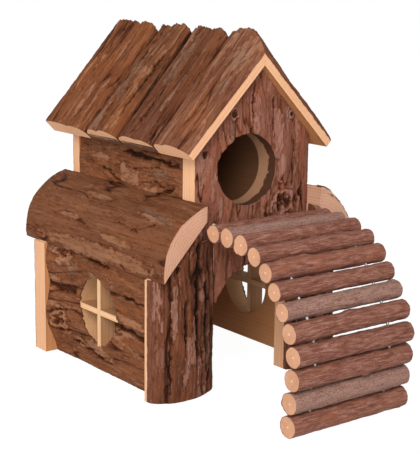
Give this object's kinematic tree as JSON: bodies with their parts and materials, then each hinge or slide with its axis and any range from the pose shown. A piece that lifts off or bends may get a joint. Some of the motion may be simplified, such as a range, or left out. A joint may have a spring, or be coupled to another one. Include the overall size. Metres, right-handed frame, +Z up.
{
  "type": "small pet house",
  "caption": "Bark-covered log slab house for a small pet: gabled tower with a round entrance, arched door, lean-to annexes with crossed windows, and a bendable stick ladder.",
  "frame": {"origin": "centre of the box around the whole part, on the ground", "axes": "-Y towards the entrance and ladder side, +X towards the right annex seen from the front, +Z up"},
  "size_m": [0.1328, 0.2148, 0.1898],
  "materials": {
    "wall_slab_wood": "natural bark outside, rough sawn inside",
    "roof_slab_wood": "natural bark outside, rough sawn below and at the ends",
    "stick_wood": "thin bark, sawn end grain",
    "planed_strip": "sawn, untreated",
    "sawn_board": "sawn, untreated",
    "wire": "galvanised"
  },
  "bodies": {
    "house": {"tower_front_wall": "wall_slab_wood", "tower_back_wall": "wall_slab_wood", "tower_left_wall": "wall_slab_wood", "tower_right_wall": "wall_slab_wood", "upper_floor": "sawn_board", "roof_left_slab_1": "roof_slab_wood", "roof_right_slab_1": "roof_slab_wood", "roof_left_slab_2": "roof_slab_wood", "roof_right_slab_2": "roof_slab_wood", "roof_left_slab_3": "roof_slab_wood", "roof_right_slab_3": "roof_slab_wood", "roof_left_slab_4": "roof_slab_wood", "roof_right_slab_4": "roof_slab_wood", "left_annex_roof": "roof_slab_wood", "left_annex_front_wall": "wall_slab_wood", "left_annex_back_wall": "wall_slab_wood", "left_annex_outer_wall": "wall_slab_wood", "left_window_upright": "planed_strip", "left_window_crossbar": "planed_strip", "right_annex_roof": "roof_slab_wood", "right_annex_front_wall": "wall_slab_wood", "right_annex_back_wall": "wall_slab_wood", "right_annex_outer_wall": "wall_slab_wood", "right_window_upright": "planed_strip", "right_window_crossbar": "planed_strip", "landing_stick_1": "stick_wood", "landing_stick_2": "stick_wood", "landing_stick_3": "stick_wood", "landing_wires": "wire"},
    "step_1": {"ladder_stick_1": "stick_wood", "ladder_wires_1": "wire"},
    "step_2": {"ladder_stick_2": "stick_wood", "ladder_wires_2": "wire"},
    "step_3": {"ladder_stick_3": "stick_wood", "ladder_wires_3": "wire"},
    "step_4": {"ladder_stick_4": "stick_wood", "ladder_wires_4": "wire"},
    "step_5": {"ladder_stick_5": "stick_wood", "ladder_wires_5": "wire"},
    "step_6": {"ladder_stick_6": "stick_wood", "ladder_wires_6": "wire"},
    "step_7": {"ladder_stick_7": "stick_wood", "ladder_wires_7": "wire"},
    "step_8": {"ladder_stick_8": "stick_wood", "ladder_wires_8": "wire"},
    "step_9": {"ladder_stick_9": "stick_wood", "ladder_wires_9": "wire"}
  },
  "joints": [
    {"name": "wire_bend_1", "type": "hinge", "parent": "house", "child": "step_1", "pos_m": [0, -0.06725, 0.08626], "axis": [-1, 0, 0], "range_deg": [-8, 10]},
    {"name": "wire_bend_2", "type": "hinge", "parent": "step_1", "child": "step_2", "pos_m": [0, -0.0767, 0.08145], "axis": [-1, 0, 0], "range_deg": [-8, 10]},
    {"name": "wire_bend_3", "type": "hinge", "parent": "step_2", "child": "step_3", "pos_m": [0, -0.08446, 0.07394], "axis": [-1, 0, 0], "range_deg": [-8, 10]},
    {"name": "wire_bend_4", "type": "hinge", "parent": "step_3", "child": "step_4", "pos_m": [0, -0.09028, 0.06532], "axis": [-1, 0, 0], "range_deg": [-8, 10]},
    {"name": "wire_bend_5", "type": "hinge", "parent": "step_4", "child": "step_5", "pos_m": [0, -0.09639, 0.05691], "axis": [-1, 0, 0], "range_deg": [-8, 10]},
    {"name": "wire_bend_6", "type": "hinge", "parent": "step_5", "child": "step_6", "pos_m": [0, -0.1013, 0.04684], "axis": [-1, 0, 0], "range_deg": [-8, 10]},
    {"name": "wire_bend_7", "type": "hinge", "parent": "step_6", "child": "step_7", "pos_m": [0, -0.1029, 0.03546], "axis": [-1, 0, 0], "range_deg": [-8, 10]},
    {"name": "wire_bend_8", "type": "hinge", "parent": "step_7", "child": "step_8", "pos_m": [0, -0.10043, 0.02381], "axis": [-1, 0, 0], "range_deg": [-8, 10]},
    {"name": "wire_bend_9", "type": "hinge", "parent": "step_8", "child": "step_9", "pos_m": [0, -0.10022, 0.01192], "axis": [-1, 0, 0], "range_deg": [-8, 10]}
  ]
}
